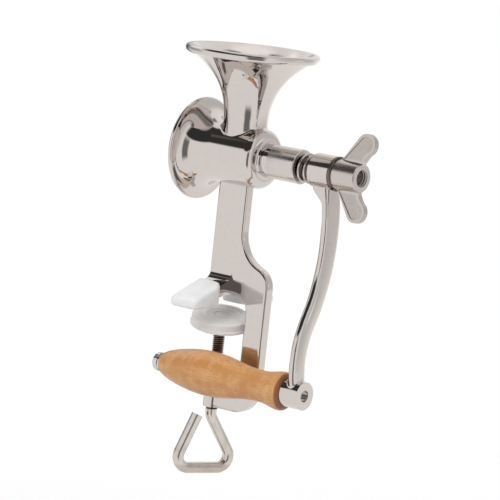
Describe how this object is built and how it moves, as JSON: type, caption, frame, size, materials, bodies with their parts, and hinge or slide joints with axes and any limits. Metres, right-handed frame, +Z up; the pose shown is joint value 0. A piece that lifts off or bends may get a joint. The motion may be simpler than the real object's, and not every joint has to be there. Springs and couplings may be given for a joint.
{
  "type": "hand crank mill",
  "caption": "Clamp-on hand mill with a trumpet hopper, a flared grinding bell, a curved crank with a turned wooden grip, a wing nut and a table screw clamp.",
  "frame": {"origin": "where the clamp screw's axis meets the plane of the two jaw soles", "axes": "+X along the shaft towards the crank, +Z up along the clamp screw, +Y to the far side of the frame plate"},
  "size_m": [0.1349, 0.0786, 0.2521],
  "materials": {
    "polished_cast": "mirror polished",
    "burr_iron": "as cast, ground teeth",
    "bush_brass": "turned",
    "white_plastic": "satin",
    "milky_plastic": "satin",
    "machined_steel": "turned",
    "spring_wire": "bright drawn",
    "dark_steel": "dark",
    "bright_steel": "plated",
    "nut_cast": "blasted casting",
    "beech": "glossy varnish",
    "rod_steel": "satin drawn rod"
  },
  "bodies": {
    "frame": {"body_casting": "polished_cast", "burr_ring": "burr_iron", "neck_bush": "bush_brass", "jaw_cap_front": "white_plastic", "jaw_cap_back": "white_plastic"},
    "feed_shaft": {"feed_screw": "machined_steel", "grinding_cone": "burr_iron", "cone_washer": "machined_steel", "cone_nut": "machined_steel", "thrust_washer": "machined_steel", "adjusting_spring": "spring_wire"},
    "crank": {"crank_arm": "polished_cast", "lock_washer": "dark_steel", "handle_bolt": "bright_steel", "handle_washer": "bright_steel"},
    "wing_nut": {"wing_nut": "nut_cast"},
    "grip": {"grip": "beech"},
    "swivel_ball": {"swivel_ball": "machined_steel"},
    "clamp_screw": {"clamp_screw": "rod_steel"},
    "clamp_pad": {"pressure_plate": "machined_steel", "pad_cap": "milky_plastic"}
  },
  "joints": [
    {"name": "crank_turn", "type": "hinge", "parent": "frame", "child": "feed_shaft", "pos_m": [0, 0, 0.0887], "axis": [1, 0, 0], "range_deg": [-341, 0]},
    {"name": "crank_slide", "type": "slide", "parent": "feed_shaft", "child": "crank", "axis": [1, 0, 0], "range_m": [-0.0015, 0.003], "deforming": ["adjusting_spring"]},
    {"name": "wing_nut_turn", "type": "hinge", "parent": "crank", "child": "wing_nut", "pos_m": [0.08, 0, 0.0887], "axis": [1, 0, 0], "range_deg": [-360, 720]},
    {"name": "grip_spin", "type": "hinge", "parent": "crank", "child": "grip", "pos_m": [0.02, -0.02046, -0.03765], "axis": [1, 0, 0], "continuous": true},
    {"name": "clamp_feed", "type": "slide", "parent": "frame", "child": "swivel_ball", "axis": [0, 0, 1], "range_m": [-0.0075, 0.0015]},
    {"name": "clamp_turn", "type": "hinge", "parent": "swivel_ball", "child": "clamp_screw", "pos_m": [0, 0, -0.06], "axis": [0, 0, 1], "range_deg": [-2160, 432]},
    {"name": "pad_tilt", "type": "hinge", "parent": "swivel_ball", "child": "clamp_pad", "pos_m": [0, 0, -0.011], "axis": [0.7912, 0.6115, 0], "range_deg": [-26, 0]}
  ],
  "couplings": [
    {"joint": "wing_nut_turn", "follows": "crank_slide", "rad_per_m": 4188.8},
    {"joint": "clamp_turn", "follows": "clamp_feed", "rad_per_m": 5026.5}
  ]
}
